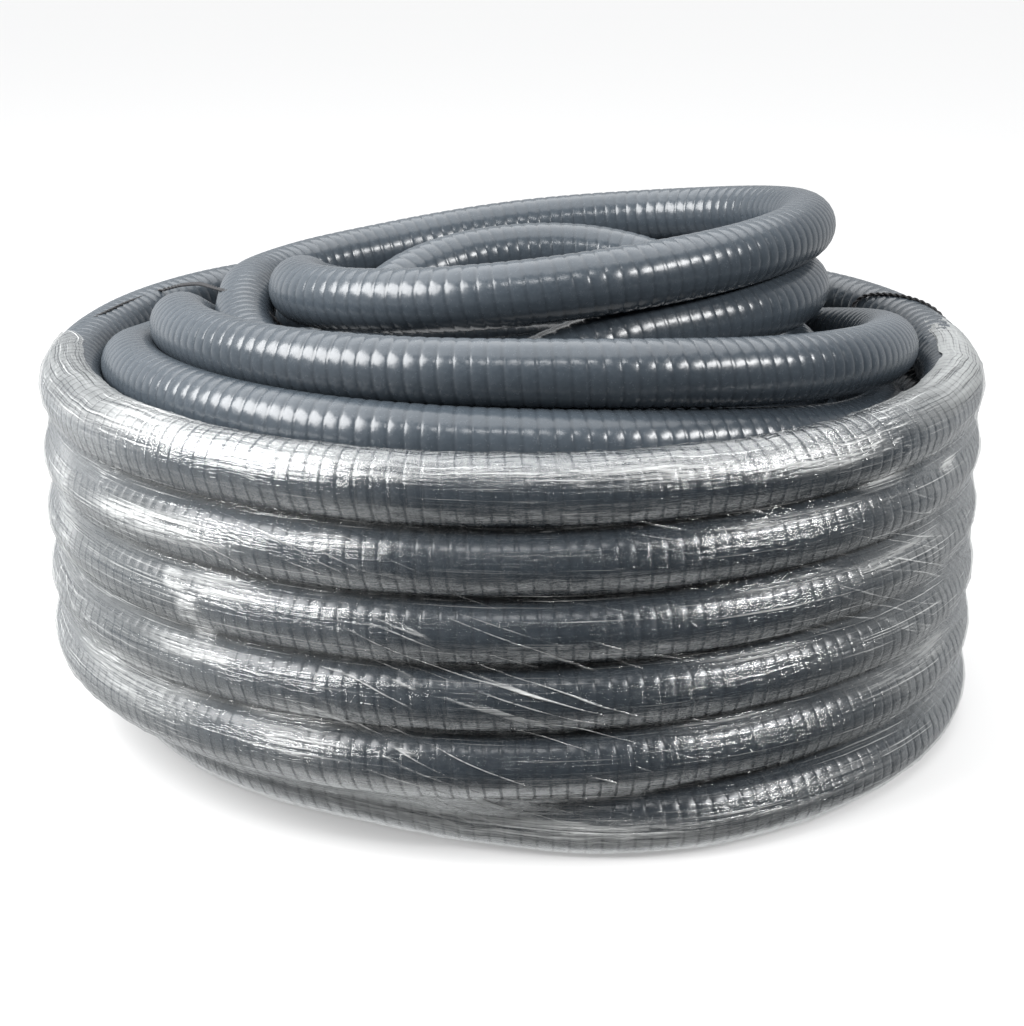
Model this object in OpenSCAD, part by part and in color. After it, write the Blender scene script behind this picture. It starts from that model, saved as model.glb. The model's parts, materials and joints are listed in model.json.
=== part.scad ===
// Long length of spiral-ribbed waste hose, wound into a round coil with loose turns on top,
// wrapped round its outside in clear stretch film and tied at the back with two twine ties.
// Frame: millimetres, +Z up along the coil's axis, origin on the floor at the coil's centre.
// The hose is one continuous piece. It starts at inner_end, winds up the inner winding from the
// top down, steps out to the outer winding at the floor, climbs it, and runs on as loose turns.

/* [Hose] */
// Outside diameter of the hose over its ribs
hose_od = 31; // [30:0.5:32]
// Bore of the hose, the nominal size of its fittings
hose_bore = 25; // [24:0.5:26]
// Straight length of hose at each end
end_length = 60; // [50:5:70]
// Depth of open bore modelled in each end
bore_depth = 45; // [40:1:48]

/* [Coil] */
// Outside diameter of the wound coil
coil_od = 477; // [474:1:480]
// Rows of hose in the outer winding
outer_rows = 6; // [5:1:6]
// Rows of hose in the inner winding
inner_rows = 4; // [3:1:4]
// Share by which the inner rows spread apart at the front
front_spread = 0.33; // [0.2:0.01:0.4]

/* [Stretch film] */
// Thickness of the wrapped film, all its layers together
film_thickness = 0.4; // [0.3:0.05:0.5]
// Clearance between the film and the hose
film_gap = 0.3; // [0.2:0.05:0.4]
// Depth that the film sinks into the valleys between rows
valley_sag = 4.5; // [3:0.5:6]

/* [Twine ties] */
// Diameter of the twisted twine
twine_d = 2.2; // [1.8:0.1:2.4]

/* [Hidden] */

hose_r = hose_od / 2;
outer_r = coil_od / 2 - hose_r;          // centreline radius of the outer winding
inner_r = outer_r - hose_od - 1;         // centreline radius of the inner winding
top_row_z = hose_r + (outer_rows - 1) * hose_od;
web = 15;                                // how far the web between rows reaches in from their centres
outer_web = 10;                          // how far the outer winding's web reaches out, under the film
round_fn = 48;                           // facets of a row's section
sweep_sides = 10;                        // sides of the swept hose
twine_sides = 8;
film_foot_z = 2.5;                       // lowest point of the film, above the floor
film_top_r = 215;                        // where the film ends on top of the front half
film_back_z = 172;                       // where the film ends on the back half
reach = 2 * coil_od;                     // larger than the part, for cutting blocks

// The loose hose, one point every 30 degrees counter-clockwise from the +X axis: [radius, height].
route_step = 30;
route = [
    [223, 172], [223, 177], [210, 175], [189, 162], [189, 158], [191, 160],
    [196, 178], [196, 184], [196, 184], [196, 184], [196, 177], [192, 160],
    [190, 147], [189, 138], [185, 138], [172, 137], [160, 139], [160, 150],
    [171, 196], [170, 203], [174, 207], [180, 210], [188, 207], [192, 197],
    [191, 184], [171, 162], [147, 143], [138, 136], [133, 130], [139, 133],
    [145, 135], [140, 138], [121, 154], [98, 189], [93, 205], [108, 206],
    [145, 206], [170, 201], [163, 181], [147, 171], [131, 176], [121, 195],
    [112, 211], [106, 216], [99, 222], [99, 228], [104, 234], [115, 236],
    [141, 238], [180, 233], [184, 217], [158, 211], [152, 201], [155, 196],
    [136, 198], [139, 190], [141, 183], [143, 178], [147, 175], [151, 171],
    [151, 168], [136, 186], [122, 207], [107, 208], [99, 201], [92, 184],
    [93, 158], [93, 130]
];
route_first = 2.5;                       // where the loose hose leaves the outer winding
route_last = len(route) - 1;
route_rings = 66;

// The run-in of the inner end, from inside the hole out to the inner winding's top row.
lead_start = 0;                          // angle of its first point
lead_sweep = 110;                        // angle it takes to reach the winding
lead_r = 115;                            // radius it starts at
lead_drop = 22;                          // how far below the top row it starts
lead_rings = 6;

// Each tie is a closed loop of twine: down inside the hole, under the coil, up its side, and over.
left_tie = [
    [-119, -32, 203], [-110, -30, 189], [-112, -31, 165], [-116, -33, 135], [-145, -38, 108],
    [-169, -40, 88], [-169, -40, 20], [-176, -40, 5], [-187, -40, 1.4], [-200, -34, 5],
    [-230, -10, 33], [-236, 8, 48], [-236, 14, 100], [-236, 16, 165], [-235, 18, 181],
    [-219, 30, 187], [-210, 62, 187], [-196, 98, 187], [-182, 80, 194], [-166, 42, 203],
    [-156, 15, 207], [-136, -24, 211]
];
right_tie = [
    [152, 55, 160], [152, 55, 140], [160, 58, 115], [163, 59, 95], [163, 59, 20], [170, 61, 5],
    [180, 63, 1.4], [216, 48, 2.5], [228, 42, 6], [234, 38, 16], [234, 38, 100], [234, 38, 165],
    [232, 42, 184], [229, 50, 186], [221, 57, 190], [211, 66, 191.5], [201, 75, 190.5],
    [192, 83, 188], [184, 88, 181], [172, 76, 178], [158, 61, 177]];

function on_circle(angle, r, z) = [r * cos(angle), r * sin(angle), z];
function unit(v) = v / norm(v);
function smooth(x) = x <= 0 ? 0 : x >= 1 ? 1 : x * x * (3 - 2 * x);

// Uniform cubic B-spline through the route's points, drawn out straight at both ends.
function route_point(i) = i < 0 ? 2 * route[0] - route[1]
                        : i > route_last ? 2 * route[route_last] - route[route_last - 1]
                        : route[i];
function blend(u) = [pow(1 - u, 3), 3 * pow(u, 3) - 6 * u * u + 4,
                     -3 * pow(u, 3) + 3 * u * u + 3 * u + 1, pow(u, 3)] / 6;
function route_rz(s, i, b) = b[0] * route_point(i - 1) + b[1] * route_point(i)
                           + b[2] * route_point(i + 1) + b[3] * route_point(i + 2);
function loose_at(s) = let (i = min(floor(s), route_last - 1), q = route_rz(s, i, blend(s - i)))
    on_circle(s * route_step, q[0], q[1]);

// Height of an inner row's centre: the rows spread apart towards the front, where sin is -1.
function inner_z(row, angle) = hose_r + row * hose_od * (1 + front_spread * (1 - sin(angle)) / 2);
function lead_at(angle) = let (a = smooth((angle - lead_start) / lead_sweep))
    on_circle(angle, lead_r + (inner_r - lead_r) * a,
              inner_z(inner_rows - 1, angle) - lead_drop * (1 - a));

step = 0.01;
top_tip = loose_at(route_last);
top_way = unit(top_tip - loose_at(route_last - step));
inner_tip = lead_at(lead_start);
inner_way = unit(inner_tip - lead_at(lead_start + step));
// One more ring close to each open end squares the sweep with the straight end that it meets.
loose_path = concat(
    [for (k = [0 : route_rings - 1])
        loose_at(route_first + k * (route_last - route_first) / route_rings)],
    [loose_at(route_last - 3 * step), top_tip]);
lead_path = concat(
    [inner_tip, lead_at(lead_start + 50 * step)],
    [for (k = [1 : lead_rings]) lead_at(lead_start + k * lead_sweep / lead_rings)]);

// Round tube swept along a list of points. A closed one joins its last ring to its first.
module swept(points, r, sides, closed = false) {
    n = len(points);
    function pick(i) = closed ? points[(i + n) % n] : points[max(0, min(n - 1, i))];
    rings = [for (i = [0 : n - 1]) let (
            t = unit(pick(i + 1) - pick(i - 1)),
            side = unit(abs(t[2]) > 0.95 ? cross([-points[i][1], points[i][0], 0], t)
                                         : cross([0, 0, 1], t)),
            up = cross(t, side))
        for (j = [0 : sides - 1])
            points[i] + r * (cos(j * 360 / sides) * side + sin(j * 360 / sides) * up)];
    walls = [for (i = [0 : n - (closed ? 1 : 2)]) for (j = [0 : sides - 1])
        let (a = i * sides, b = ((i + 1) % n) * sides, k = (j + 1) % sides)
            [a + j, b + j, b + k, a + k]];
    first_cap = [for (j = [0 : sides - 1]) j];
    last_cap = [for (j = [sides - 1 : -1 : 0]) (n - 1) * sides + j];
    polyhedron(rings, closed ? walls : concat(walls, [first_cap, last_cap]), convexity = 8);
}

// Straight end of the hose, from a point on its centreline, pointing the way a fitting leaves.
module hose_end(tip, way) {
    translate(tip)
        rotate([0, acos(way[2]), atan2(way[1], way[0])])
            difference() {
                cylinder(r = hose_r, h = end_length, $fn = 64);
                translate([0, 0, end_length - bore_depth])
                    cylinder(d = hose_bore, h = bore_depth + 1, $fn = 64);
            }
}

// Section of the outer winding, each row's circle grown by an amount, with a strip across the
// valleys that reaches out from the rows' centres by depth.
module outer_section(first_row, grow, depth) {
    for (row = [first_row : outer_rows - 1])
        translate([outer_r, hose_r + row * hose_od])
            circle(r = hose_r + grow, $fn = round_fn);
    translate([outer_r - web, hose_r + first_row * hose_od])
        square([web + depth, top_row_z - hose_r - first_row * hose_od]);
}

// The lowest outer row is only wound on the +X half, from the front to the back.
module outer_winding() {
    color("slategray")
        union() {
            rotate_extrude($fn = 120)
                outer_section(1, 0, outer_web);
            rotate([0, 0, -90])
                rotate_extrude(angle = 180, $fn = 120)
                    union() {
                        translate([outer_r, hose_r])
                            circle(r = hose_r, $fn = round_fn);
                        translate([outer_r - web, hose_r])
                            square([web + outer_web, hose_od]);
                    }
        }
}

module inner_row(row) {
    lean = atan((inner_z(row, -90) - inner_z(row, 90)) / (2 * inner_r));
    translate([0, 0, (inner_z(row, -90) + inner_z(row, 90)) / 2])
        rotate([-lean, 0, 0])
            rotate_extrude($fn = 120)
                translate([inner_r, 0])
                    circle(r = hose_r, $fn = round_fn);
}

module inner_winding() {
    last = inner_rows - 1;
    lean = atan((inner_z(last, -90) - inner_z(last, 90)) / (2 * inner_r));
    color("lightslategray")
        union() {
            for (row = [0 : last])
                inner_row(row);
            difference() {
                translate([0, 0, hose_r])
                    difference() {
                        cylinder(r = inner_r + web, h = inner_z(last, -90), $fn = 120);
                        translate([0, 0, -1])
                            cylinder(r = inner_r - web, h = inner_z(last, -90) + 2, $fn = 120);
                    }
                translate([0, 0, (inner_z(last, -90) + inner_z(last, 90)) / 2])
                    rotate([-lean, 0, 0])
                        translate([-reach / 2, -reach / 2, 0])
                            cube(reach);
            }
        }
}

module lead_in() {
    color("steelblue")
        swept(lead_path, hose_r, sweep_sides);
}

module loose_turns() {
    color("cadetblue")
        swept(loose_path, hose_r, sweep_sides);
}

module inner_end() {
    color("lightsteelblue")
        hose_end(inner_tip, inner_way);
}

module top_end() {
    color("lightsteelblue")
        hose_end(top_tip, top_way);
}

// Thin skin over the outside of the winding: it bridges the valleys between the rows, goes over
// the top row on the front half, and leaves the -X half's lowest level, where no row lies.
module stretch_film() {
    outside = film_gap + film_thickness;
    color("whitesmoke", 0.4)
        difference() {
            rotate_extrude($fn = 120)
                difference() {
                    outer_section(0, outside, hose_r - valley_sag + film_thickness);
                    outer_section(0, film_gap, hose_r - valley_sag);
                    square([film_top_r, reach]);
                    translate([0, -reach])
                        square([reach, reach + film_foot_z]);
                    translate([0, hose_r])
                        square([outer_r, top_row_z - hose_r]);
                    square([outer_r, hose_r]);
                }
            translate([-reach, 0, film_back_z])
                cube([2 * reach, reach, reach]);
            translate([-reach, -reach / 2, -1])
                cube([reach, reach, hose_od + film_foot_z + 1]);
        }
}

module twine_tie_left() {
    color("dimgray")
        swept(left_tie, twine_d / 2, twine_sides, closed = true);
}

module twine_tie_right() {
    color("dimgray")
        swept(right_tie, twine_d / 2, twine_sides, closed = true);
}

outer_winding();
inner_winding();
lead_in();
loose_turns();
inner_end();
top_end();
stretch_film();
twine_tie_left();
twine_tie_right();
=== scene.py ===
"""Looks of a coil of spiral-ribbed waste hose, wrapped in clear stretch film and tied with twine.

Everything is in metres in the row frame: +Z up along the coil's axis, the floor at z = 0.
Angles are in degrees, counter-clockwise seen from above, 0 along +X. The front is -Y.
"""

import json
import math

import bpy
import numpy as np
from mathutils import Vector
from mathutils.kdtree import KDTree
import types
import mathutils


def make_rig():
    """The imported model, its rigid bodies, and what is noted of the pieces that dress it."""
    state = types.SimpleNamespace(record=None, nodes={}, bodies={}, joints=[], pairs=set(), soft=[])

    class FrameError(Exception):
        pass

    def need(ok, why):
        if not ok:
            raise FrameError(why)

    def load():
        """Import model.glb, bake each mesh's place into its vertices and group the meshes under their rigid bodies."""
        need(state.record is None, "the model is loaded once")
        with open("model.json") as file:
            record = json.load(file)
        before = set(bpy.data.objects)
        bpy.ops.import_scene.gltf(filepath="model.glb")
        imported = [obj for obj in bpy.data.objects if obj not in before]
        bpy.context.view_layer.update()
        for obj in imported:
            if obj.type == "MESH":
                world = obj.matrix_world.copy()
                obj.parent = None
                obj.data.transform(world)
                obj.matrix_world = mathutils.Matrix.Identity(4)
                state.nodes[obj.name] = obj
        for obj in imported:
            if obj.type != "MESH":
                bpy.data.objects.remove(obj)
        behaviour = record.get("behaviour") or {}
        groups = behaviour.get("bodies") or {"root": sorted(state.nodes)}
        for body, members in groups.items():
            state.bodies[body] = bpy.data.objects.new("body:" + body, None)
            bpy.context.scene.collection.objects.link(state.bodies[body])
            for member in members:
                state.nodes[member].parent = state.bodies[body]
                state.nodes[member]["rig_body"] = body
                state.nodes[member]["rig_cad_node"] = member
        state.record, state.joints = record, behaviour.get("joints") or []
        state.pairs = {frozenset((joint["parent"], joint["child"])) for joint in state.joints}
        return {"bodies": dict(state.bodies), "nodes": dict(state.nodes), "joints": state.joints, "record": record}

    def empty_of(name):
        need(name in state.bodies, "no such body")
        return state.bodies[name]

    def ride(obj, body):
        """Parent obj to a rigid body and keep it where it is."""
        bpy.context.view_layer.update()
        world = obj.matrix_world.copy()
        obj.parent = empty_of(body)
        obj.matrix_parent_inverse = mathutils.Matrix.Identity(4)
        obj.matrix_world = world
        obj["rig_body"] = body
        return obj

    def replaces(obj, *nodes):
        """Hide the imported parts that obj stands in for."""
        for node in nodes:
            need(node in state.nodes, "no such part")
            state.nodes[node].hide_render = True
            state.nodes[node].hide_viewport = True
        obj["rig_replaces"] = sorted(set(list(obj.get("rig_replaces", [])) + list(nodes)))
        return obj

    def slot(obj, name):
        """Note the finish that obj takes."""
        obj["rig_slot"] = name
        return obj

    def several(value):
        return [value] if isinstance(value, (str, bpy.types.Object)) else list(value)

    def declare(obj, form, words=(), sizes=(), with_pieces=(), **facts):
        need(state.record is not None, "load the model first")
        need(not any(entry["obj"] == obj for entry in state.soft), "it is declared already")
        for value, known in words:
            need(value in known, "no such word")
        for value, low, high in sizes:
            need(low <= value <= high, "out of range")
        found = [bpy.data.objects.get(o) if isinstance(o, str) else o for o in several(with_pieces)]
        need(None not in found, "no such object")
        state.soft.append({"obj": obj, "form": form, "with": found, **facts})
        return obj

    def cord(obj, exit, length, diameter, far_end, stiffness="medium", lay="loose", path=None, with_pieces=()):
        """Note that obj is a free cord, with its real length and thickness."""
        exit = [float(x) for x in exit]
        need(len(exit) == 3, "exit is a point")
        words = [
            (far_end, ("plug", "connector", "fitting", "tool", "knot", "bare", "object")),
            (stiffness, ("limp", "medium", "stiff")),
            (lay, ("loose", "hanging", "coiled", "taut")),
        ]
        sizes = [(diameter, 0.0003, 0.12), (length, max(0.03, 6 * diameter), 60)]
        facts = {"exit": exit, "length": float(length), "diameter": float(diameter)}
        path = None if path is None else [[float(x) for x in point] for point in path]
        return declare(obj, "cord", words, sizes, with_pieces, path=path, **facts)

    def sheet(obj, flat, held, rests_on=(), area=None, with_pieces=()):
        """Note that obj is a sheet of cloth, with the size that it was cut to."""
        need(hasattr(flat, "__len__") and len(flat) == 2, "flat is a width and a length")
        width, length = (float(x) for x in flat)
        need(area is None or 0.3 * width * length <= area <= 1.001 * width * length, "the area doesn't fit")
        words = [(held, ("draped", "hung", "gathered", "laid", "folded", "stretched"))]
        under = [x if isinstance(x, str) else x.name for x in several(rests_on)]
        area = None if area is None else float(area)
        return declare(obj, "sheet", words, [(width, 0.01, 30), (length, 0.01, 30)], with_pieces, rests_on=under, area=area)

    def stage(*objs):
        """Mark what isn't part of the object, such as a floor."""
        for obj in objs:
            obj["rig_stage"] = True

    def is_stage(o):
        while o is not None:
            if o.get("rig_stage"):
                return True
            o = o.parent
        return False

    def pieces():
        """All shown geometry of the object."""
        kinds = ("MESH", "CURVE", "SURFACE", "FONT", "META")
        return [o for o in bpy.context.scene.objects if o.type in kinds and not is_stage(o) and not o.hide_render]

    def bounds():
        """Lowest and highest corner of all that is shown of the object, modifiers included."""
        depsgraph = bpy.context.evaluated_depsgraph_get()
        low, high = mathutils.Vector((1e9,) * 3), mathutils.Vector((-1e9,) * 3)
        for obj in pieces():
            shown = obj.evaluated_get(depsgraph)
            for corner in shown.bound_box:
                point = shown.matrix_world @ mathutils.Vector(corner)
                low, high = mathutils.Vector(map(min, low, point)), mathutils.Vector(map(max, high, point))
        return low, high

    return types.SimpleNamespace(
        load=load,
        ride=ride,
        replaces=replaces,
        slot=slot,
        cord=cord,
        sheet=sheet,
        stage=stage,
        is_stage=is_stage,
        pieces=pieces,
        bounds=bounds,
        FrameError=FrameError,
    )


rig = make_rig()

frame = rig.load()
cad_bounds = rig.bounds()

# ---------------------------------------------------------------- sizes
MM = 0.001
HOSE_D = 31 * MM
HOSE_R = HOSE_D / 2
BORE_R = 12.5 * MM
RIB_PITCH = 6.8 * MM
OUTER_R = 223 * MM  # centreline radius of the outer winding
INNER_R = 191 * MM  # centreline radius of the inner winding
END_LENGTH = 60 * MM  # straight hose at each end
FRONT_SPREAD = 0.33  # share by which the inner rows spread apart at the front
ROW_LEAN = 1.5 * MM  # the outer rows lie this much higher on the right than in the middle

# The loose hose, one point every 30 degrees counter-clockwise from +X: (radius, height) in mm.
ROUTE_STEP = 30
ROUTE = [
    (223, 172), (223, 177), (210, 175), (189, 162), (189, 158), (191, 160),
    (196, 178), (196, 184), (196, 184), (196, 184), (196, 177), (192, 160),
    (190, 147), (189, 138), (185, 138), (172, 137), (160, 139), (160, 150),
    (171, 196), (170, 203), (174, 207), (180, 210), (188, 207), (192, 197),
    (191, 184), (171, 162), (147, 143), (138, 136), (133, 130), (139, 133),
    (145, 135), (140, 138), (121, 154), (98, 189), (93, 205), (108, 206),
    (145, 206), (170, 201), (163, 181), (147, 171), (131, 176), (121, 195),
    (112, 211), (106, 216), (99, 222), (99, 228), (104, 234), (115, 236),
    (141, 238), (180, 233), (184, 217), (158, 211), (152, 201), (155, 196),
    (136, 198), (139, 190), (141, 183), (143, 178), (147, 175), (151, 171),
    (151, 168), (136, 186), (122, 207), (107, 208), (99, 201), (92, 184),
    (93, 158), (93, 130),
]

# The run-in of the inner end, from inside the hole out to the inner winding's top row.
LEAD_START = -1080  # its angle, counted back from the outer winding's start
LEAD_SWEEP = 110
LEAD_R = 115 * MM
LEAD_DROP = 22 * MM  # the inner end starts this much lower
STEP_OUT = 245  # angle where the hose steps out from the inner to the outer winding
OUTER_END = 2160  # angle where the loose route begins
CLIMB_FROM, CLIMB_SWEEP = 60, 60  # where on each turn the outer winding steps up a row
FIRST_CLIMB, LAST_CLIMB = CLIMB_FROM + 360, CLIMB_FROM + 5 * 360
CROWN, CROWN_AT = 4 * MM, 1940  # the top outer row bulges up here, at the back left
CLEAR_OF_FOOT = 78  # angle where the lowest outer row has climbed off the foot
SETTLE_STEP = 6 * MM  # spacing of the points that the loose turns are settled with
LINE_STEP = 1 * MM  # spacing of the finished centreline's points

# Closed routes of the twine ties, in mm: down inside the hole, under the coil, up its side, over.
LEFT_TIE = [
    (-119, -32, 203), (-110, -30, 189), (-112, -31, 165), (-116, -33, 135), (-145, -38, 108),
    (-169, -40, 88), (-169, -40, 20), (-176, -40, 5), (-187, -40, 1.4), (-200, -34, 5),
    (-230, -10, 33), (-238, 8, 48), (-239, 14, 100), (-239, 16, 165), (-236, 18, 182),
    (-219, 30, 187.5), (-210, 62, 187.5), (-196, 98, 187), (-182, 80, 194), (-166, 42, 203),
    (-156, 15, 207), (-136, -24, 211),
]
RIGHT_TIE = [
    (158, 58.5, 149.5), (152, 56, 138), (158, 58, 115), (163, 59, 95), (163, 59, 20), (170, 61, 5),
    (180, 63, 1.4), (216, 48, 2.5), (228, 42, 6), (236, 38, 16), (237, 38, 100), (237, 38, 165),
    (236, 43, 176), (230, 50, 186), (220.6, 58, 190.4), (210, 67, 191.4), (201.7, 76.3, 190),
    (192, 83.6, 188.2), (186, 87, 181), (187, 78, 168), (181, 68, 159),
]


# ---------------------------------------------------------------- camera
def add_camera():
    """The photograph's viewing angle: level with the loose turns, looking a little down."""
    data = bpy.data.cameras.new("camera")
    data.sensor_fit = "HORIZONTAL"
    data.sensor_width = 36
    data.lens = 77.34
    data.clip_end = 20
    camera = bpy.data.objects.new("camera", data)
    camera.location = (0, -1.105, 0.447)
    camera.rotation_euler = (math.radians(90 - 17.97), 0, 0)
    bpy.context.scene.collection.objects.link(camera)
    bpy.context.scene.camera = camera


# ---------------------------------------------------------------- the hose's centreline
def smooth(x):
    x = np.clip(x, 0, 1)
    return x * x * (3 - 2 * x)


def on_circle(angle, r, z):
    a = np.radians(angle)
    return np.stack([r * np.cos(a), r * np.sin(a), z + 0 * a], axis=-1)


def spline(points, at):
    """Uniform cubic B-spline over points, at positions counted in points, drawn out straight."""
    points = np.asarray(points, float)
    padded = np.vstack([2 * points[0] - points[1], points, 2 * points[-1] - points[-2]])
    i = np.clip(np.floor(at).astype(int), 0, len(points) - 2)
    u = (at - i)[:, None]
    weights = [(1 - u) ** 3, 3 * u**3 - 6 * u**2 + 4, -3 * u**3 + 3 * u**2 + 3 * u + 1, u**3]
    return sum(w * padded[i + k] for k, w in enumerate(weights)) / 6


def along(line):
    """Distance of each point of a line from its start."""
    return np.concatenate([[0], np.cumsum(np.linalg.norm(np.diff(line, axis=0), axis=1))])


def inner_line(angles):
    """From the inner end's run-in, down the inner winding, to its lowest row."""
    turn = np.floor((angles - 330) / 360)
    fall = smooth((angles - 330 - 360 * turn) / 60)
    level = np.clip(-turn - fall, 0, 3)
    spread = 1 + FRONT_SPREAD * (1 - np.sin(np.radians(angles))) / 2
    out = smooth((angles - LEAD_START) / LEAD_SWEEP)
    z = HOSE_R + HOSE_D * level * spread - LEAD_DROP * (1 - out)
    return on_circle(angles, LEAD_R + (INNER_R - LEAD_R) * out, z)


def outer_rz(angles):
    """Radius and height of the outer winding: flat rows that step up at the back."""
    r = INNER_R + (OUTER_R - INNER_R) * smooth((angles - STEP_OUT) / 50)
    turn = np.floor((angles - CLIMB_FROM) / 360)
    rise = smooth((angles - CLIMB_FROM - 360 * turn) / CLIMB_SWEEP)
    level = np.where(angles < FIRST_CLIMB, 0, np.maximum(turn - 1, 0) + rise)
    lean = (smooth((angles - FIRST_CLIMB) / CLIMB_SWEEP)
            * (1 - smooth((angles - LAST_CLIMB) / CLIMB_SWEEP)))
    crown = CROWN * np.exp(-(((angles - CROWN_AT) / 35) ** 2))
    z = HOSE_R + HOSE_D * level + ROW_LEAN * np.cos(np.radians(angles)) * lean + crown
    return r, z


def loose_line(step=0.05):
    """The loose turns before they settle, a point every step of a station."""
    stations = np.arange(0, len(ROUTE) - 1 + step / 2, step)
    rz = spline(np.array(ROUTE) * MM, stations)
    return on_circle(stations * ROUTE_STEP, rz[:, 0], rz[:, 1])


def straight(line, length, step=3 * MM):
    """Points that carry a line's end on, straight."""
    way = line[-1] - line[-2]
    way /= np.linalg.norm(way)
    return line[-1] + way * np.arange(step, length + step / 2, step)[:, None]


def evenly(line, step):
    """The same line with its points a step apart."""
    s = along(line)
    at = np.linspace(0, s[-1], int(round(s[-1] / step)) + 1)
    return np.stack([np.interp(at, s, line[:, k]) for k in range(3)], axis=1)


def soften(values, reach):
    """Averages a row of vectors along itself with a bell-shaped weight, reach samples wide."""
    x = np.arange(-3 * reach, 3 * reach + 1)
    weight = np.exp(-((x / reach) ** 2) / 2)
    weight /= weight.sum()
    padded = np.pad(values, ((len(x) // 2, len(x) // 2), (0, 0)), mode="edge")
    return np.stack([np.convolve(padded[:, k], weight, "valid") for k in range(3)], axis=1)


def settle(line, free, rounds=24):
    """Pushes turns that lie in each other apart, until they are a diameter from each other."""
    s = along(line)
    line = line.copy()
    for _ in range(rounds):
        tree = KDTree(len(line))
        for i, p in enumerate(line):
            tree.insert(p, i)
        tree.balance()
        pairs = [(i, j) for i, p in enumerate(line) for _, j, _ in tree.find_range(p, HOSE_D)
                 if s[j] - s[i] > 2.5 * HOSE_D]
        if not pairs:
            break
        i, j = np.array(pairs).T
        gap = line[i] - line[j]
        near = np.linalg.norm(gap, axis=1)
        push = gap / near[:, None] * (HOSE_D - near)[:, None] / 2
        share = np.zeros((len(line), 3))
        count = np.ones(len(line))
        np.add.at(share, i, push)
        np.add.at(share, j, -push)
        np.add.at(count, i, 1)
        np.add.at(count, j, 1)
        line += soften(share / count[:, None] * 3, 4) * free[:, None]
        line[:, 2] = np.maximum(line[:, 2], HOSE_R)
    return line


def hose_line():
    """The whole hose's centreline, and the distances where its inner and outer windings end."""
    inner = inner_line(np.arange(LEAD_START, STEP_OUT, 1.0))
    start = straight(inner[::-1], END_LENGTH)[::-1]
    outer_angles = np.arange(STEP_OUT, OUTER_END, 1.0)
    outer = on_circle(outer_angles, *outer_rz(outer_angles))
    loose = loose_line()
    loose = np.vstack([loose, straight(loose, END_LENGTH)])
    line = np.vstack([start, inner, outer, loose])
    inner_end = along(line)[len(start) + len(inner)]
    outer_end = along(line)[len(start) + len(inner) + len(outer)]
    line = evenly(line, SETTLE_STEP)
    s = along(line)
    held = smooth((s - inner_end + 0.1) / 0.1) * smooth((outer_end + 0.25 - s) / 0.15)
    free = (1 - held) * smooth(s / 0.1) * smooth((s[-1] - s) / 0.1)
    line = settle(line, free)
    fine = spline(line, np.arange(0, len(line) - 1, LINE_STEP / SETTLE_STEP))
    return fine, inner_end, outer_end


# ---------------------------------------------------------------- mesh helpers
def add_mesh(name, points, faces, material):
    mesh = bpy.data.meshes.new(name)
    mesh.from_pydata(np.asarray(points).tolist(), [], faces)
    mesh.update()
    mesh.polygons.foreach_set("use_smooth", np.ones(len(mesh.polygons), bool))
    mesh.materials.append(material)
    piece = bpy.data.objects.new(name, mesh)
    bpy.context.scene.collection.objects.link(piece)
    return piece


def set_values(piece, name, values):
    """Stores one number per point, for the material to read."""
    layer = piece.data.attributes.new(name, "FLOAT", "POINT")
    layer.data.foreach_set("value", np.asarray(values, np.float32).ravel())


def frames(line):
    """Unit vectors along, beside and above a line."""
    t = np.gradient(line, axis=0)
    t /= np.linalg.norm(t, axis=1)[:, None]
    side = np.cross([0, 0, 1], t)
    side /= np.linalg.norm(side, axis=1)[:, None]
    return t, side, np.cross(t, side)


def at_distance(table, s, where):
    """Rows of a table, read between its rows at given distances."""
    return np.stack([np.interp(where, s, table[:, k]) for k in range(table.shape[1])], axis=-1)


def proper_faces(quads):
    """Quads as lists, with those that a clamped end has shrunk made triangles or dropped."""
    doubled = np.zeros(len(quads), bool)
    for a in range(4):
        for b in range(a + 1, 4):
            doubled |= quads[:, a] == quads[:, b]
    faces = quads[~doubled].tolist()
    for quad in quads[doubled].tolist():
        kept = list(dict.fromkeys(quad))
        if len(kept) == 3:
            faces.append(kept)
    return faces


# ---------------------------------------------------------------- the ribbed hose
# One rib's outline along the hose: (share of the pitch, depth below the crown,
# how much painted groove shade).
RIB = [(0.0, 0.33 * MM, 1.0), (0.11, 0.15 * MM, 0.5), (0.22, 0.0, 0.0), (0.78, 0.0, 0.0),
       (0.89, 0.15 * MM, 0.5)]
# Painted shade: the cut ends and the bore are darkened as a groove is.
END_SHADE = 0.3  # how dark the cut ends and the bore are, as a groove
CHAMFER = 0.5 * MM  # at the mouth of the bore
BORE_RINGS = [0, CHAMFER, 20 * MM, 40 * MM, 60 * MM, 80 * MM]  # how deep the bore's rings lie


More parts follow.
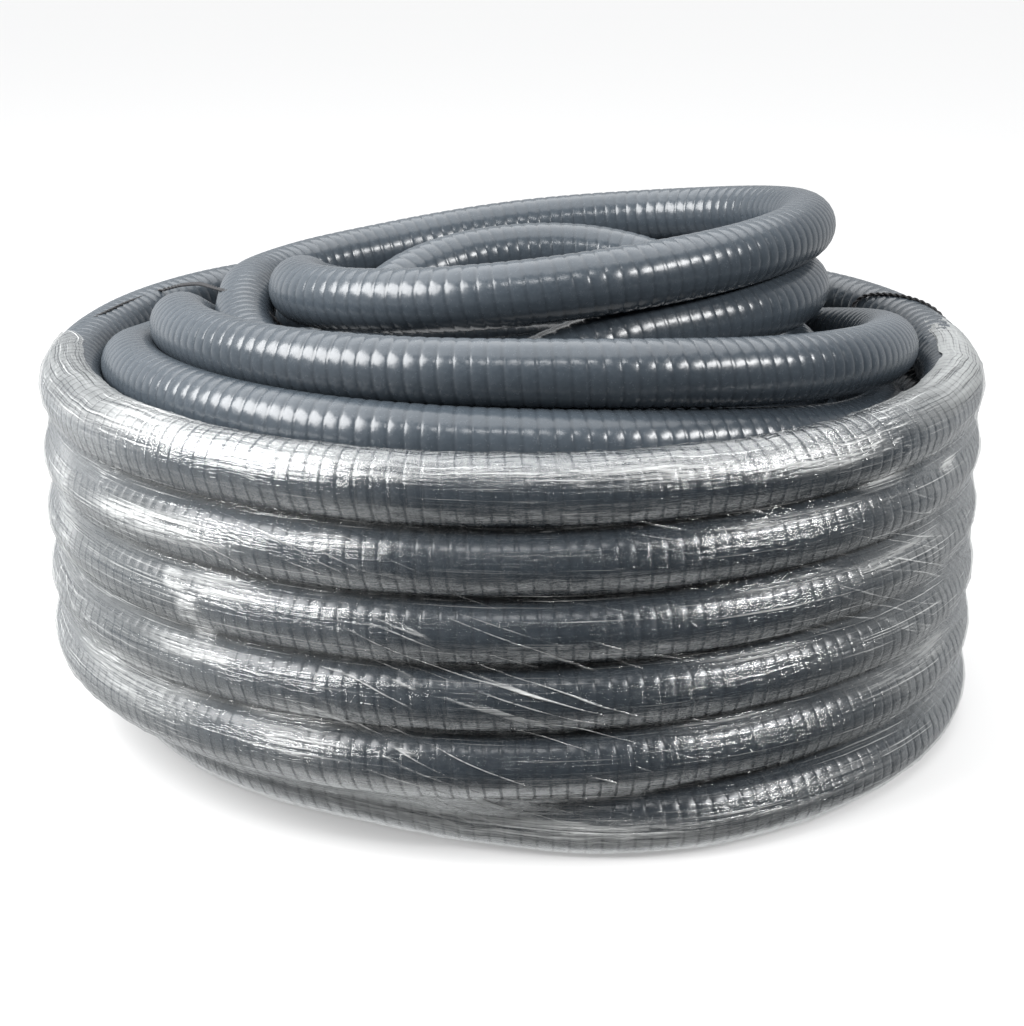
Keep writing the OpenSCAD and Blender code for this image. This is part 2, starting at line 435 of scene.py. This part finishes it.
def hose_piece(name, line, first, last, sides, material, open_first=False, open_last=False):
    """A closed length of hose between two distances, whose ribs run round it as a helix.
    The grid's rows follow the helix, so every rib and groove is geometry."""
    s = along(line)
    _, side, up = frames(line)
    table = np.hstack([line, side, up])
    turns = np.arange(math.floor(first / RIB_PITCH) - 1, math.ceil(last / RIB_PITCH) + 2)
    share = np.array([rib[0] for rib in RIB])
    rows = (turns[:, None] + share[None, :]).ravel() * RIB_PITCH
    depth = np.tile([rib[1] for rib in RIB], len(turns))
    groove_shade = np.tile([rib[2] for rib in RIB], len(turns))
    column = np.arange(sides)
    where = rows[:, None] + RIB_PITCH * column[None, :] / sides
    at = at_distance(table, s, np.clip(where, first, last).ravel())
    angle = np.tile(2 * np.pi * column / sides, len(rows))
    r = HOSE_R - np.repeat(depth, sides)
    round_it = np.cos(angle)[:, None] * at[:, 3:6] + np.sin(angle)[:, None] * at[:, 6:9]
    points = at[:, :3] + r[:, None] * round_it
    # Painted shade: how much each point is darkened as if shaded in a groove.
    groove_shades = np.repeat(groove_shade, sides)

    number = np.arange(len(points)).reshape(where.shape)
    low, high = where <= first, where >= last
    ends = []
    for clamped, row in ((low, np.argmin(low, axis=0) - 1), (high, np.argmax(high, axis=0))):
        rim = number[row, column]
        number = np.where(clamped, rim[None, :], number)
        ends.append(rim)
    shift = len(RIB)
    next_column = np.hstack([number[:-shift, 1:], number[shift:, :1]])
    number = number[:-shift]
    quads = np.stack([number[:-1], next_column[:-1], next_column[1:], number[1:]], axis=-1)
    faces = proper_faces(quads.reshape(-1, 4))

    points, groove_shades = [points], [groove_shades]
    for rim, at_s, inward, is_open in ((ends[0], first, 1, open_first),
                                       (ends[1], last, -1, open_last)):
        depths = BORE_RINGS if is_open else [0]
        rings = [rim]
        for k, deep in enumerate(depths):
            here = at_distance(table, s, np.full(1, at_s + inward * deep))[0]
            a = 2 * np.pi * column / sides
            wall = BORE_R + (CHAMFER if k == 0 else 0)
            around = np.cos(a)[:, None] * here[3:6] + np.sin(a)[:, None] * here[6:9]
            ring = here[:3] + wall * around
            start = sum(len(p) for p in points)
            rings.append(np.arange(start, start + sides))
            points.append(ring)
            # Painted shade in the bore and on the cut end.
            groove_shades.append(np.full(sides, END_SHADE))
        start = sum(len(p) for p in points)
        points.append(here[None, :3])
        groove_shades.append(np.full(1, END_SHADE))
        for a, b in zip(rings, rings[1:]):
            for j in range(sides):
                quad = [a[j], a[(j + 1) % sides], b[(j + 1) % sides], b[j]]
                faces.append([int(v) for v in (quad if inward < 0 else quad[::-1])])
        for j in range(sides):
            fan = [int(rings[-1][j]), int(rings[-1][(j + 1) % sides]), start]
            faces.append(fan if inward < 0 else fan[::-1])

    used = np.zeros(sum(len(p) for p in points), bool)
    for face in faces:
        used[face] = True
    new_number = np.cumsum(used) - 1
    faces = [[int(new_number[v]) for v in face] for face in faces]
    piece = add_mesh(name, np.vstack(points)[used], faces, material)
    set_values(piece, "groove_shade", np.concatenate(groove_shades)[used])
    return piece


def declare_hose(piece, line, first, last, far_end, nodes):
    """Says which body and nodes a length of hose stands for, and that it is a coiled cord."""
    s = along(line)
    keep = (s >= first) & (s <= last)
    path = line[keep][::4]
    path = np.vstack([path, line[keep][-1]])
    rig.ride(piece, "root")
    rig.slot(piece, "hose_pvc")
    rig.replaces(piece, *nodes)
    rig.cord(piece, exit=path[0], length=last - first, diameter=HOSE_D, far_end=far_end,
            stiffness="stiff", lay="coiled", path=path)


def add_hose(material, line, inner_end, outer_end):
    """The one hose as four pieces that meet end to end."""
    total = along(line)[-1]
    half = (inner_end + outer_end) / 2
    parts = [
        ("hose_inner_winding", 0, inner_end, 20, "object",
         ["inner_winding", "lead_in", "inner_end"]),
        ("hose_outer_rows_lower", inner_end, half, 28, "object", ["outer_winding"]),
        ("hose_outer_rows_upper", half, outer_end, 28, "object", ["outer_winding"]),
        ("hose_loose_turns", outer_end, total, 28, "bare", ["loose_turns", "top_end"]),
    ]
    for name, first, last, sides, far_end, nodes in parts:
        piece = hose_piece(name, line, first, last, sides, material,
                           open_first=first == 0, open_last=last == total)
        declare_hose(piece, line, first, last, far_end, nodes)


# ---------------------------------------------------------------- twine ties
TWINE_D = 2.2 * MM
STRAND_R = 0.6 * MM
STRAND_LAY = 8 * MM  # length of one twist of the two strands
STRAND_SIDES = 7


def tie_line(route):
    """A tie's centreline, smoothed, from under the coil all the way round and back."""
    points = np.array(route, float) * MM
    start = int(np.argmin(points[:, 2]))
    points = np.roll(points, -start, axis=0)
    points = np.vstack([points, points[:1]])
    dense = evenly(points, 6 * MM)
    dense = soften(dense, 1)
    return evenly(spline(dense, np.linspace(0, len(dense) - 1, 12 * len(dense))), 1 * MM)


def add_tie(name, node, route, material):
    """A closed loop of two twisted strands along a route."""
    line = tie_line(route)
    s = along(line)
    t = np.gradient(line, axis=0)
    t /= np.linalg.norm(t, axis=1)[:, None]
    out = np.cross(t, on_circle(np.degrees(np.arctan2(line[:, 1], line[:, 0])) + 90, 1, 0))
    out /= np.linalg.norm(out, axis=1)[:, None]
    beside = np.cross(t, out)
    sides = STRAND_SIDES
    points, faces = [], []
    for strand in (0, math.pi):
        twist = 2 * np.pi * s / STRAND_LAY + strand
        radial = np.cos(twist)[:, None] * out + np.sin(twist)[:, None] * beside
        centre = line + radial * (TWINE_D / 2 - STRAND_R)
        start = sum(len(p) for p in points)
        for j in range(sides):
            a = 2 * np.pi * j / sides
            ring = centre + STRAND_R * (np.cos(a) * out + np.sin(a) * beside)
            points.append(ring)
        n = len(line)
        for j in range(sides):
            k = (j + 1) % sides
            for i in range(n - 1):
                faces.append([start + j * n + i, start + k * n + i, start + k * n + i + 1,
                              start + j * n + i + 1])
        faces.append([start + j * n for j in reversed(range(sides))])
        faces.append([start + j * n + n - 1 for j in range(sides)])
    piece = add_mesh(name, np.vstack(points), faces, material)
    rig.ride(piece, "root")
    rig.slot(piece, "tie_twine")
    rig.replaces(piece, node)
    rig.cord(piece, exit=line[0], length=s[-1], diameter=TWINE_D, far_end="knot",
            stiffness="limp", lay="taut", path=line[::3])
    return piece


# ---------------------------------------------------------------- stretch film
FILM_COLUMNS = 860  # grid columns round the coil
FILM_TOP, FILM_SIDE, FILM_FOOT = 16, 84, 10  # grid rows over the crest, down the side, under it
FILM_OFF = 0.7 * MM  # gap between the hose and the film
FILM_START = 90  # angle of the first column
TOP_ROW_Z = 171 * MM
ROW_APART = 6 * MM  # rows nearer than this in height count as one
TOP_DIP, DIP_AT, DIP_REACH = 22 * MM, 75, 16  # the top row sinks here, at the back
TOP_RISE, RISE_AT, RISE_REACH = 5 * MM, 35, 20  # and lies higher here


def ripple(u, v, across, down, seed):
    """Smooth noise from 0 to 1 on a grid: u runs round once and joins up, v runs down."""
    rng = np.random.default_rng(seed)
    lattice = rng.random((across, down + 3))
    x, y = u * across, v * down
    i, j = np.floor(x).astype(int), np.floor(y).astype(int)
    fx, fy = smooth(x - i), smooth(y - j)
    j = np.clip(j, 0, down + 1)
    a, b = lattice[i % across, j], lattice[(i + 1) % across, j]
    c, d = lattice[i % across, j + 1], lattice[(i + 1) % across, j + 1]
    return (a * (1 - fx) + b * fx) * (1 - fy) + (c * (1 - fx) + d * fx) * fy


def ridges(u, v, across, down, seed):
    """Noise with sharp crests, for creases, from 0 to 1."""
    return 1 - np.abs(2 * ripple(u, v, across, down, seed) - 1)


def film_rows(angle, reach):
    """Section of what the film lies on at one angle: rows as (radius, height, distance along the
    hose), lowest first. reach gives the distance for an angle counted on from the first turn."""
    angle = angle % 360
    if angle > 180:
        foot, foot_at = smooth((angle - STEP_OUT) / 50), reach(angle)
    else:
        foot, foot_at = 1 - smooth((angle - CLEAR_OF_FOOT) / 40), reach(angle + 360)
    rows = [(INNER_R + (OUTER_R - INNER_R) * float(foot), HOSE_R, foot_at)]
    for turn in range(1, 6):
        r, z = outer_rz(np.array([angle + 360 * turn]))
        if z[0] > rows[0][1] + ROW_APART:
            rows.append((float(r[0]), float(z[0]), reach(angle + 360 * turn)))
    dip = TOP_DIP * math.exp(-(((angle - DIP_AT) / DIP_REACH) ** 2))
    rise = TOP_RISE * math.exp(-(((angle - RISE_AT) / RISE_REACH) ** 2))
    top = (OUTER_R, TOP_ROW_Z + rise - dip, reach(angle + OUTER_END))
    if top[1] - rows[-1][1] > 8 * MM:
        rows.append(top)
    return rows


def film_section(angle, crest, foot, sag, reach):
    """The film's outline at one angle, from its top edge to its foot, as (radius, height, how far
    off the hose it is, ribs passed since the hose's start). crest and foot are how far it goes
    round the top and bottom rows."""
    rows = np.array(film_rows(angle, reach))
    radii, heights, distances = rows.T
    hold = HOSE_R + FILM_OFF
    a = np.linspace(crest, 0, FILM_TOP, endpoint=False)
    b = np.linspace(0, -foot, FILM_FOOT + 1)[1:]
    z = np.linspace(heights[-1], heights[0], FILM_SIDE)
    bridge = np.interp(z, heights, radii) + hold
    k = np.clip(np.searchsorted(heights, z) - 1, 0, len(rows) - 2)
    u = (z - heights[k]) / (heights[k + 1] - heights[k])
    bridge = bridge - sag * (1 - np.abs(2 * u - 1) ** 2.5)
    inside = hold**2 - (z - heights[:, None]) ** 2
    circles = np.where(inside > 0, radii[:, None] + np.sqrt(np.maximum(inside, 0)), -1)
    sharp = 0.5 * MM
    outlines = np.vstack([circles, bridge])
    peak = outlines.max(axis=0)
    side_r = peak + sharp * np.log(np.exp((outlines - peak) / sharp).sum(axis=0)) - sharp * 0.7
    off = smooth((side_r - circles.max(axis=0)) / (2.5 * MM))
    near = np.where(u > 0.5, k + 1, k)
    tilt = np.arcsin(np.clip((z - heights[near]) / hold, -1, 1))
    r = np.concatenate([radii[-1] + hold * np.cos(a), side_r, radii[0] + hold * np.cos(b)])
    z = np.concatenate([heights[-1] + hold * np.sin(a), z, heights[0] + hold * np.sin(b)])
    off = np.concatenate([0 * a, off, 0 * b])
    hose = np.concatenate([0 * a + distances[-1], distances[near], 0 * b + distances[0]])
    tilt = np.concatenate([a, tilt, b])
    return np.stack([r, z, off, hose / RIB_PITCH - 0.5 + tilt / (2 * np.pi)], axis=1)


# Where the film is white or creased, and where highlights and reflections are painted on it:
# (angle, height in mm, half its length in degrees, half its height in mm, how much). The patches
# are creased and white: partly the white of creased film, partly painted highlight. The veils are
# smooth and grey: partly haze, partly painted reflection. The threads are crossed by thin slanting
# creases, painted white both as crease whitening and as glints.
PATCHES = [
    (229, 141, 14, 7, 0.65), (219, 176, 15, 8, 0.15), (238, 119, 6, 8, 0.65),
    (231, 117, 2.4, 7, 0.5), (233, 106, 2.0, 8, 0.5), (235, 95, 1.8, 8, 0.45),
    (237, 85, 1.8, 7, 0.4), (246, 58, 7, 17, 0.45),
    (256, 34, 10, 12, 0.4), (232, 86, 8, 6, 0.3), (251, 148, 4, 5, 0.45),
    (262, 181, 24, 5, 0.3), (284, 180, 14, 6, 0.5), (305, 177, 12, 8, 0.6),
    (226, 183, 12, 6, 0.2), (302, 152, 12, 3, 0.6), (300, 122, 9, 3, 0.65),
    (297, 92, 9, 3, 0.65), (294, 62, 10, 4, 0.55), (330, 151, 3, 4, 0.6),
    (315, 158, 5, 4, 0.55), (318, 120, 12, 5, 0.3), (322, 62, 14, 9, 0.25),
    (270, 15, 30, 10, 0.45), (305, 20, 16, 9, 0.3), (222, 60, 14, 14, 0.3),
    (206, 130, 5, 40, 0.15), (60, 120, 16, 22, 0.4), (100, 70, 20, 12, 0.4),
    (150, 110, 14, 24, 0.35), (20, 50, 14, 14, 0.3), (125, 150, 10, 8, 0.4),
    (175, 60, 12, 14, 0.3),
]
VEILS_AND_SHEEN = [
    (352, 184, 36, 11, 1.0), (203, 184, 30, 10, 0.55), (214, 90, 26, 90, 0.45),
    (325, 90, 26, 90, 0.25), (226, 147, 12, 7, 0.5), (268, 12, 40, 9, 0.5), (240, 25, 25, 18, 0.4),
    (30, 100, 40, 90, 0.3), (110, 90, 50, 70, 0.3), (170, 120, 24, 60, 0.35),
]
THREADS = [
    (268, 72, 24, 62, 1.0), (246, 140, 16, 16, 0.6), (290, 150, 16, 18, 0.4),
    (316, 110, 16, 50, 0.4), (120, 90, 45, 60, 0.7), (25, 90, 25, 60, 0.6), (195, 90, 16, 60, 0.4),
]


def spread(spots, angles, heights):
    """How much of each kind of spot there is at each point of the film."""
    much = np.zeros_like(heights)
    for at, height, long, high, strength in spots:
        way = (angles[:, None] - at + 180) % 360 - 180
        far = np.hypot(way / long, (heights / MM - height) / high)
        much = np.maximum(much, strength * (1 - smooth((far - 0.3) / 0.9)))
    return much


def add_film(material, line, inner_end):
    """The stretch film: one open sheet on the outer rows, from a ragged top edge to its foot."""
    turned = np.degrees(np.unwrap(np.arctan2(line[:, 1], line[:, 0])))
    s = along(line)
    turned += STEP_OUT - np.interp(inner_end, s, turned)

    def reach(angle):
        return float(np.interp(angle, turned, s))

    u = np.linspace(0, 1, FILM_COLUMNS, endpoint=False)
    angles = FILM_START + 360 * u
    front = smooth((angles - 172) / 14) * (1 - smooth((angles - 364) / 12))
    wander = ripple(u, 0 * u, 46, 1, 5) + 0.5 * ripple(u, 0 * u, 130, 1, 6) - 0.75
    crest = np.radians(18 + 98 * front + 16 * wander)
    tatter = ripple(u, 0 * u, 60, 1, 7) + 0.6 * ripple(u, 0 * u, 190, 1, 8) - 0.8
    foot = np.radians(62 + 14 * tatter)
    sag = (3.2 + 2.4 * (ripple(u, 0 * u, 24, 1, 9) - 0.5)) * MM
    section = np.array([film_section(a, c, f, g, reach)
                        for a, c, f, g in zip(angles, crest, foot, sag)])
    off, ribs, section = section[..., 2], section[..., 3], section[..., :2]
    n_down = section.shape[1]
    v = np.linspace(0, 1, n_down)[None, :]
    uu = u[:, None]
    # Creases: long ones along the rows, slanting ones at the front, and short pinched ones.
    long_ones = ridges(uu + 0.03 * v, v, 40, 44, 11) ** 4
    slanting = ridges(uu + 0.17 * v, v, 60, 8, 12) ** 9
    pinched = ridges(uu + 0.02 * v, v, 150, 30, 13) ** 5
    crease = 0.5 * long_ones + 0.5 * slanting + 0.4 * pinched
    swell = ripple(uu, v, 50, 14, 14) * off
    normal = np.gradient(section, axis=1)
    normal = np.stack([-normal[..., 1], normal[..., 0]], axis=-1)
    normal /= np.maximum(np.linalg.norm(normal, axis=-1), 1e-9)[..., None]
    lift = (0.8 * crease + 1.2 * swell) * MM
    section = section + normal * lift[..., None]
    section[..., 1] = np.maximum(section[..., 1], 0.6 * MM)
    points = on_circle(np.repeat(angles[:, None], n_down, 1), section[..., 0], section[..., 1])
    number = np.arange(FILM_COLUMNS * n_down).reshape(FILM_COLUMNS, n_down)
    after = np.roll(number, -1, axis=0)
    quads = np.stack([number[:, :-1], number[:, 1:], after[:, 1:], after[:, :-1]], axis=-1)
    piece = add_mesh("film_wrap", points.reshape(-1, 3), quads.reshape(-1, 4).tolist(), material)
    set_values(piece, "turn", np.repeat(u, n_down))
    set_values(piece, "down", np.tile(v[0], FILM_COLUMNS))
    set_values(piece, "crease", crease)
    set_values(piece, "off", off)
    set_values(piece, "ribs", ribs)
    # Masks of white creased film, grey haze and thin creases, with the painted highlights and reflections on them.
    for name, spots in (("patch", PATCHES), ("veil_and_sheen", VEILS_AND_SHEEN), ("threads", THREADS)):
        set_values(piece, name, spread(spots, angles, section[..., 1]))
    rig.ride(piece, "root")
    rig.slot(piece, "clear_film")
    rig.replaces(piece, "stretch_film")
    deep = float(np.linalg.norm(np.diff(section, axis=1), axis=-1).sum(axis=1).mean())
    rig.sheet(piece, flat=(deep, 2 * math.pi * OUTER_R), held="stretched",
             rests_on=["outer_winding"])
    return piece


# ---------------------------------------------------------------- materials
class Nodes:
    """A material's node tree, built from short calls."""

    def __init__(self, name):
        self.material = bpy.data.materials.new(name)
        self.material.use_nodes = True
        self.tree = self.material.node_tree
        self.shader = self.tree.nodes["Principled BSDF"]
        self.output = self.tree.nodes["Material Output"]

    def add(self, kind, **values):
        node = self.tree.nodes.new("ShaderNode" + kind)
        for key, value in values.items():
            if key in node.inputs:
                node.inputs[key].default_value = value
            else:
                setattr(node, key, value)
        return node

    def link(self, source, target):
        self.tree.links.new(source, target)

    def noise(self, vector, scale, detail=3, rough=0.5):
        node = self.add("TexNoise", Scale=scale, Detail=detail, Roughness=rough)
        self.link(vector, node.inputs["Vector"])
        return node.outputs["Fac"]

    def ramp(self, source, low, high, out_low=0.0, out_high=1.0):
        node = self.add("MapRange")
        for value, key in ((low, "From Min"), (high, "From Max"), (out_low, "To Min"),
                           (out_high, "To Max")):
            node.inputs[key].default_value = value
        self.link(source, node.inputs["Value"])
        return node.outputs["Result"]

    def maths(self, operation, a, b):
        node = self.add("Math", operation=operation)
        for value, socket in ((a, node.inputs[0]), (b, node.inputs[1])):
            if isinstance(value, (int, float)):
                socket.default_value = value
            else:
                self.link(value, socket)
        return node.outputs[0]

    def mix(self, share, a, b):
        node = self.add("Mix", data_type="RGBA")
        for value, socket in ((a, node.inputs[6]), (b, node.inputs[7])):
            if isinstance(value, tuple):
                socket.default_value = (*value, 1)
            else:
                self.link(value, socket)
        self.link(share, node.inputs[0])
        return node.outputs[2]

    def attribute(self, name):
        return self.add("Attribute", attribute_name=name).outputs["Fac"]

    def scaled(self, scale):
        place = self.add("TexCoord").outputs["Object"]
        node = self.add("Mapping")
        node.inputs["Scale"].default_value = scale
        self.link(place, node.inputs["Vector"])
        return node.outputs["Vector"]

    def bump(self, height, distance, strength=1.0, before=None):
        node = self.add("Bump", Distance=distance, Strength=strength)
        self.link(height, node.inputs["Height"])
        if before is not None:
            self.link(before, node.inputs["Normal"])
        return node.outputs["Normal"]

    def set(self, **values):
        for key, value in values.items():
            self.shader.inputs[key.replace("_", " ")].default_value = value


def hose_material():
    """Glossy blue-grey PVC, a little mottled, with painted shade that darkens the grooves
    between ribs, the cut ends and the bore.
    """
    m = Nodes("hose_pvc")
    place = m.scaled((1, 1, 1))
    broad = m.noise(place, 9, 2)
    fine = m.noise(place, 420, 3, 0.6)
    body = m.mix(m.ramp(broad, 0.35, 0.65), (0.034, 0.043, 0.053), (0.047, 0.058, 0.070))
    body = m.mix(m.ramp(fine, 0.3, 0.7, 0, 0.25), body, (0.075, 0.09, 0.105))
    # Painted shade: grooves, cut ends and bore darken towards a near-black blue-grey.
    groove_shade = m.attribute("groove_shade")
    m.link(m.mix(m.ramp(groove_shade, 0.0, 1.0, 0, 0.25), body, (0.016, 0.020, 0.025)),
           m.shader.inputs["Base Color"])
    m.link(m.ramp(fine, 0.25, 0.75, 0.19, 0.30), m.shader.inputs["Roughness"])
    ripples = m.noise(place, 150, 2)
    m.link(m.bump(ripples, 0.0006, 0.35, m.bump(fine, 0.0001, 0.4)), m.shader.inputs["Normal"])
    m.set(IOR=1.5)
    return m.material


def film_material():
    """Clear film: nearly invisible where it lies flat, white where it is creased or layered,
    with painted highlights where it is white and painted reflection where it is grey.
    """
    m = Nodes("clear_film")
    turn, down, off = m.attribute("turn"), m.attribute("down"), m.attribute("off")
    patch, veil_and_sheen, crease = m.attribute("patch"), m.attribute("veil_and_sheen"), m.attribute("crease")

    def streaks(along_turn, down_scale, slope, detail=3, rough=0.6):
        """Long thin noise, in cells per turn and per height, that climbs by a slope."""
        place = m.add("CombineXYZ")
        m.link(m.maths("MULTIPLY", turn, along_turn), place.inputs[0])
        m.link(m.maths("SUBTRACT", m.maths("MULTIPLY", down, down_scale),
                       m.maths("MULTIPLY", turn, slope)), place.inputs[1])
        return m.noise(place.outputs[0], 1.0, detail, rough)

    crinkle = streaks(130, 170, 0)
    smear = streaks(26, 80, 0, 4, 0.65)
    fine = streaks(420, 300, 0, 2)
    cloud = m.noise(m.scaled((1, 1, 1)), 22, 3)

    # Thin slanting creases, unevenly spaced, that come and go along their length, painted
    # white as crease whitening and glints.
    slant = m.maths("SUBTRACT", m.maths("MULTIPLY", down, 26), m.maths("MULTIPLY", turn, 62))
    slant = m.maths("ADD", slant, m.maths("MULTIPLY", streaks(9, 14, 34, 2), 3.4))
    thread = m.ramp(m.maths("PINGPONG", slant, 0.5), 0.015, 0.07, 1.0, 0.0)
    thread = m.maths("MULTIPLY", thread, m.ramp(streaks(30, 12, 30, 2), 0.42, 0.6))
    thread = m.maths("MULTIPLY", thread, m.attribute("threads"))

    rib = m.maths("PINGPONG", m.attribute("ribs"), 0.5)
    lies = m.maths("SUBTRACT", 1.0, off)
    tick = m.maths("MULTIPLY", m.ramp(rib, 0.05, 0.13, 1.0, 0.0), lies)
    ways = m.add("SeparateXYZ")
    m.link(m.add("TexCoord").outputs["Normal"], ways.inputs[0])
    under = m.ramp(ways.outputs["Z"], -0.18, -0.5)

    # Painted glints: white specks on crinkled film.
    specks = m.maths("MULTIPLY", m.ramp(crinkle, 0.56, 0.66), m.ramp(cloud, 0.52, 0.75, 0.0, 0.35))
    both = m.maths("ADD", m.maths("MULTIPLY", m.ramp(crinkle, 0.42, 0.62), 0.3),
                   m.maths("MULTIPLY", m.ramp(smear, 0.36, 0.66), 0.7))
    # The white of creased and layered film, with painted highlights in it.
    white_and_glints = m.maths("ADD", m.maths("MULTIPLY", patch, both), m.maths("MULTIPLY", thread, 0.7))
    white_and_glints = m.maths("ADD", white_and_glints, specks)
    # Painted glints: thin white lines along the stretched wrinkles.
    lines = streaks(15, 230, 24, 2)
    white_and_glints = m.maths("ADD", white_and_glints, m.ramp(lines, 0.61, 0.70, 0.0, 0.26))
    dim = m.ramp(lines, 0.34, 0.46, 0.3, 1.0)
    # Grey haze of the film, with painted reflection in it.
    grey = m.maths("MULTIPLY", veil_and_sheen, m.ramp(smear, 0.3, 0.7, 0.4, 0.85))
    haze_and_glints = m.maths("MULTIPLY", m.maths("ADD", white_and_glints, grey), dim)
    m.link(m.ramp(haze_and_glints, 0.0, 0.4, 1.0, 0.1), m.shader.inputs["Metallic"])
    m.link(m.ramp(haze_and_glints, 0.0, 0.5, 0.15, 0.4), m.shader.inputs["Roughness"])
    # Base colour: white for creased film and painted highlights, grey for haze and painted reflection.
    m.link(m.mix(m.ramp(m.maths("SUBTRACT", grey, white_and_glints), 0.0, 0.3), (0.84, 0.85, 0.84),
                 (0.30, 0.31, 0.31)), m.shader.inputs["Base Color"])
    edge = m.add("LayerWeight", Blend=0.35).outputs["Facing"]
    clear = m.maths("ADD", m.maths("MULTIPLY", under, 0.30), m.maths("MULTIPLY", edge, 0.5))
    clear = m.maths("ADD", clear, m.maths("MULTIPLY", crease, 0.05))
    clear = m.maths("MULTIPLY", clear, m.ramp(tick, 0.0, 1.0, 1.0, 0.35))
    m.link(m.ramp(m.maths("ADD", haze_and_glints, clear), 0.0, 1.0, 0.045, 0.95), m.shader.inputs["Alpha"])

    relief = m.maths("MULTIPLY", crinkle, m.maths("ADD", m.maths("MULTIPLY", patch, 0.55), 0.12))
    ribbed = m.maths("MULTIPLY", m.ramp(rib, 0.02, 0.2), lies)
    normal = m.bump(smear, 0.002, 0.5, m.bump(thread, 0.0008, 0.8, m.bump(fine, 0.0004, 0.4)))
    normal = m.bump(relief, 0.0018, 1.0, m.bump(ribbed, 0.00014, 1.0, normal))
    m.link(normal, m.shader.inputs["Normal"])
    m.set(IOR=1.5)
    return m.material


def twine_material():
    """Dull black fibres."""
    m = Nodes("tie_twine")
    fibres = m.noise(m.scaled((1, 1, 1)), 2600, 2)
    m.link(m.mix(fibres, (0.006, 0.006, 0.007), (0.035, 0.035, 0.038)),
           m.shader.inputs["Base Color"])
    m.link(m.bump(fibres, 0.0003, 0.8), m.shader.inputs["Normal"])
    m.set(Roughness=0.6)
    return m.material


def floor_material():
    """Pale matt floor that glows a little, so that it stays pale in the dim room."""
    m = Nodes("floor_pale")
    m.set(Base_Color=(0.4, 0.4, 0.4, 1), Roughness=0.8, Emission_Color=(1, 1, 1, 1),
          Emission_Strength=0.35)
    return m.material


# ---------------------------------------------------------------- room
def add_floor():
    """The floor takes the coil's shadow, but is left out of its reflections."""
    bpy.ops.mesh.primitive_plane_add(size=12, location=(0, 0, -0.0002))
    floor = bpy.context.object
    floor.name = "floor"
    floor.data.materials.append(floor_material())
    floor.visible_glossy = floor.visible_diffuse = False
    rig.stage(floor)


def add_softbox(name, azimuth, elevation, distance, size, power):
    """An area light that faces the coil. Azimuth 0 is the camera's side, positive to the right."""
    data = bpy.data.lights.new(name, "AREA")
    data.shape = "RECTANGLE"
    data.size, data.size_y = size
    data.energy = power
    lamp = bpy.data.objects.new(name, data)
    a, e = math.radians(azimuth), math.radians(elevation)
    way = Vector((math.sin(a) * math.cos(e), -math.cos(a) * math.cos(e), math.sin(e)))
    target = Vector((0, 0, 0.12))
    lamp.location = target + way * distance
    lamp.rotation_euler = (-way).to_track_quat("-Z", "Y").to_euler()
    bpy.context.scene.collection.objects.link(lamp)


def add_sun(elevation, strength, spread):
    """Even light from above and behind, as from a large overhead softbox."""
    data = bpy.data.lights.new("overhead", "SUN")
    data.energy = strength
    data.angle = math.radians(spread)
    lamp = bpy.data.objects.new("overhead", data)
    lamp.rotation_euler = (math.radians(elevation - 90), 0, 0)
    bpy.context.scene.collection.objects.link(lamp)


def add_world():
    """A dim room with a bright backdrop behind the coil and a white table right under it."""
    world = bpy.data.worlds.new("studio")
    world.use_nodes = True
    tree = world.node_tree
    way = tree.nodes.new("ShaderNodeSeparateXYZ")
    tree.links.new(tree.nodes.new("ShaderNodeTexCoord").outputs["Generated"], way.inputs[0])

    def ramp(source, low, high, out):
        node = tree.nodes.new("ShaderNodeMapRange")
        node.interpolation_type = "SMOOTHSTEP"
        for key, value in (("From Min", low), ("From Max", high), ("To Min", 0), ("To Max", out)):
            node.inputs[key].default_value = value
        tree.links.new(source, node.inputs["Value"])
        return node.outputs["Result"]

    def add(a, b):
        node = tree.nodes.new("ShaderNodeMath")
        tree.links.new(a, node.inputs[0])
        if isinstance(b, float):
            node.inputs[1].default_value = b
        else:
            tree.links.new(b, node.inputs[1])
        return node.outputs[0]

    behind = ramp(way.outputs["Y"], 0.15, 0.6, 0.6)
    backdrop = add(behind, ramp(way.outputs["X"], -0.2, -0.8, 0.55))
    table = ramp(way.outputs["Z"], -0.62, -0.9, 0.62)
    back = tree.nodes["Background"]
    tree.links.new(add(add(backdrop, table), 0.05), back.inputs["Strength"])
    back.inputs["Color"].default_value = (0.96, 0.98, 1, 1)
    bpy.context.scene.world = world


def add_lights():
    """The room, one overhead lamp and three softboxes: left, right and a thin one in front."""
    add_world()
    add_sun(72, 3.2, 75)
    add_softbox("softbox_left", -70, 40, 1.5, (1.2, 0.75), 46)
    add_softbox("softbox_right", 60, 33, 1.5, (0.8, 0.24), 19)
    add_softbox("softbox_front", 2, 50, 1.5, (0.6, 0.10), 4.2)


# ---------------------------------------------------------------- the scene
add_camera()
hose, inner_end, outer_end = hose_line()
add_hose(hose_material(), hose, inner_end, outer_end)
twine = twine_material()
add_tie("left_tie_twine", "twine_tie_left", LEFT_TIE, twine)
add_tie("right_tie_twine", "twine_tie_right", RIGHT_TIE, twine)
add_film(film_material(), hose, inner_end)
add_floor()
add_lights()
bpy.context.scene.view_settings.view_transform = "Standard"

visual_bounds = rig.bounds()
with open("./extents.json", "w") as size_file:
    json.dump({"cad": [list(corner) for corner in cad_bounds],
               "visual": [list(corner) for corner in visual_bounds]}, size_file)
